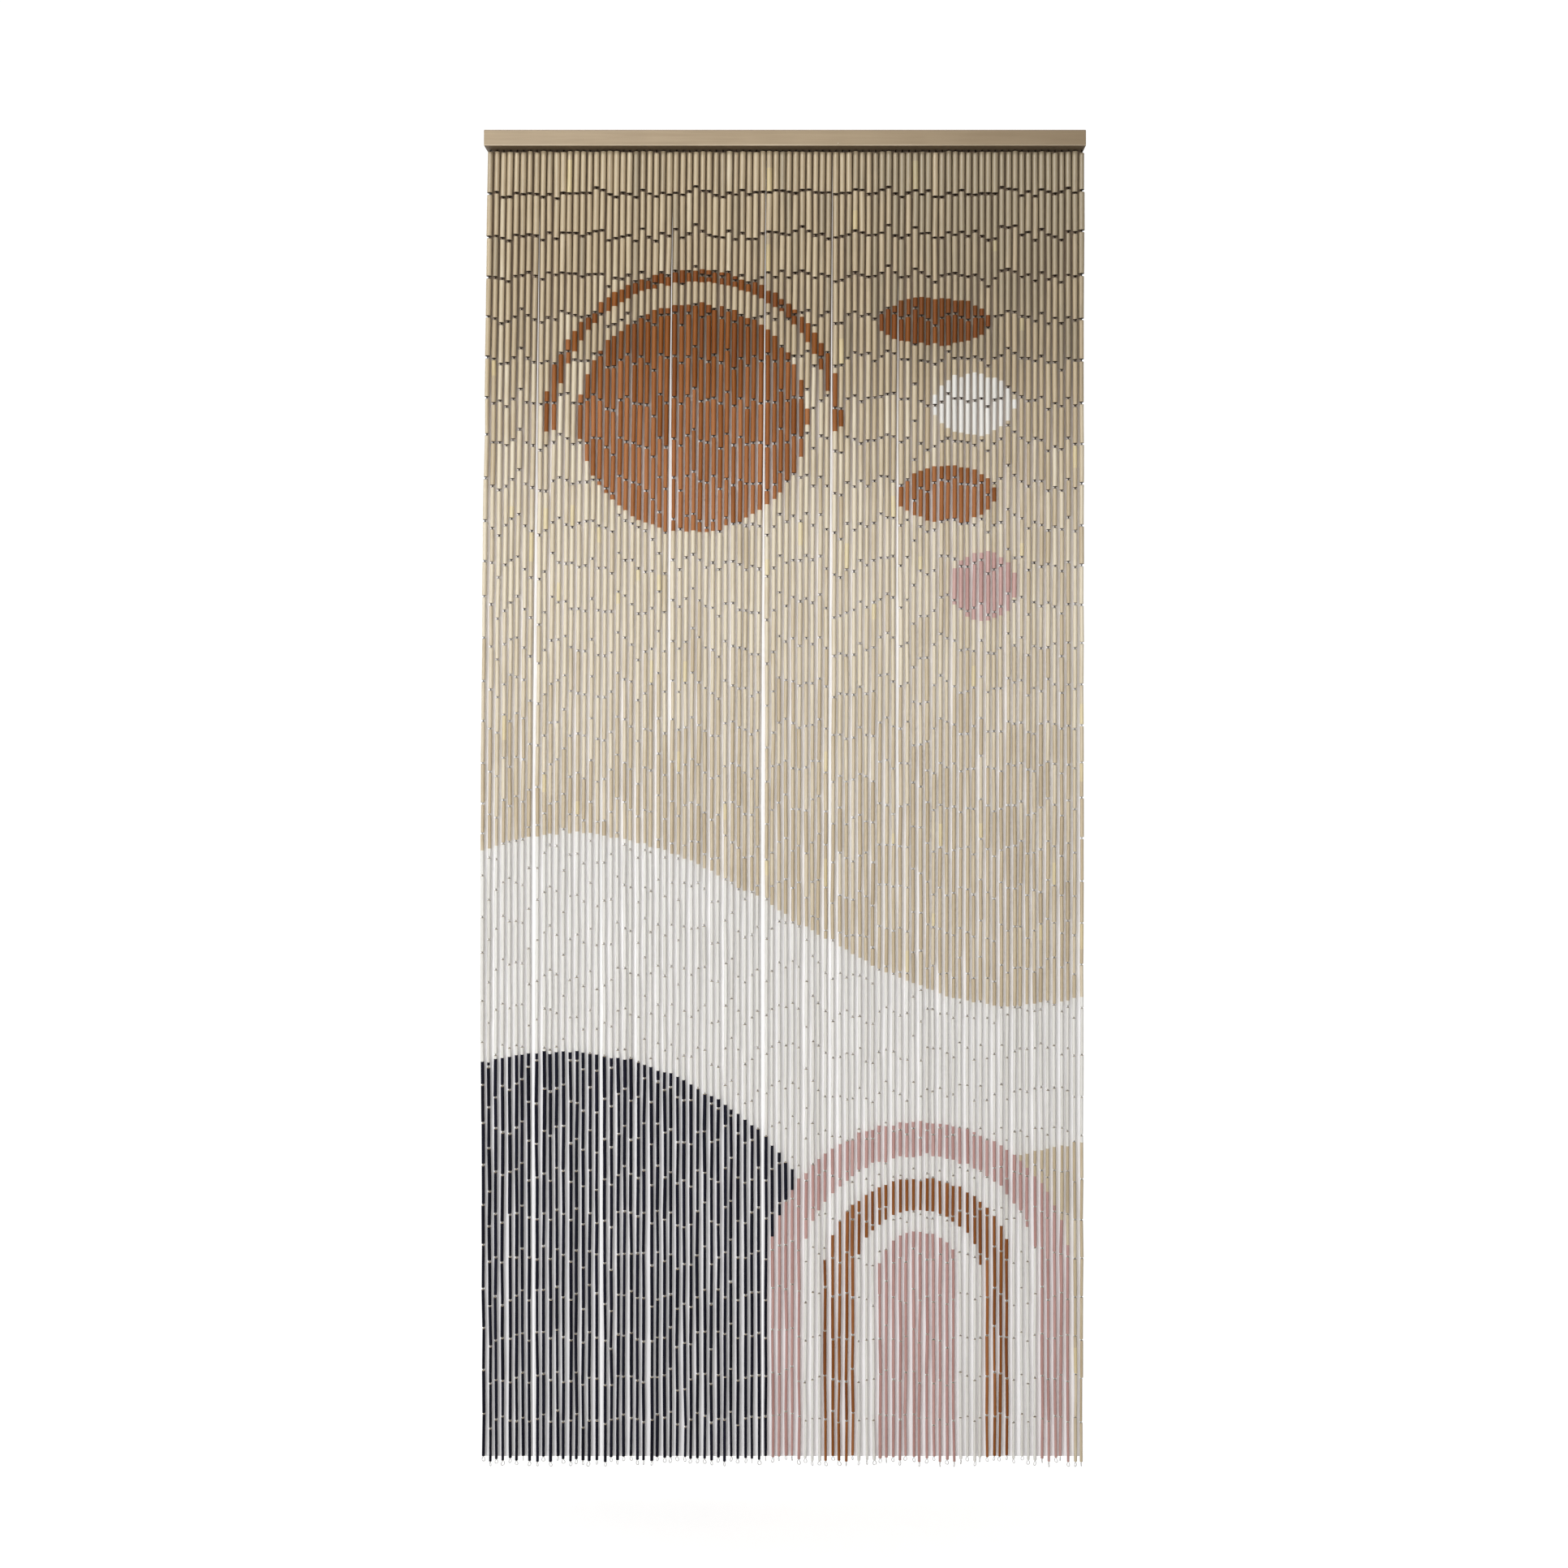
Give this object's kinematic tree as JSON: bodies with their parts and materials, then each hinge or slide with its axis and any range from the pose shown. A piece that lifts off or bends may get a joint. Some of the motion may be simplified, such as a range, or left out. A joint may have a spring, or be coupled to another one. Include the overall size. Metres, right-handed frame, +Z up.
{
  "type": "bamboo bead curtain with wooden rail",
  "caption": "Door curtain of hollow painted bamboo tubes, linked into hanging strands by wire eyes under a painted wooden rail, each strand ending in a wire loop",
  "frame": {"origin": "middle of the rail's back face", "axes": "+Z up, along the hanging strands; +Y out of the rail's back face, towards the wall; +X to the right seen from the front"},
  "size_m": [0.9087, 0.04, 2.0088],
  "materials": {
    "rail_paint": "softwood batten with a satin taupe paint",
    "painted_bamboo": "thin hollow bamboo with a hand-painted satin lacquer in sand, off-white, rust, dusty pink and navy",
    "link_wire": "thin drawn steel wire bent into eyes"
  },
  "bodies": {
    "root": {"rail": "rail_paint", "strands": "painted_bamboo"}
  },
  "joints": []
}
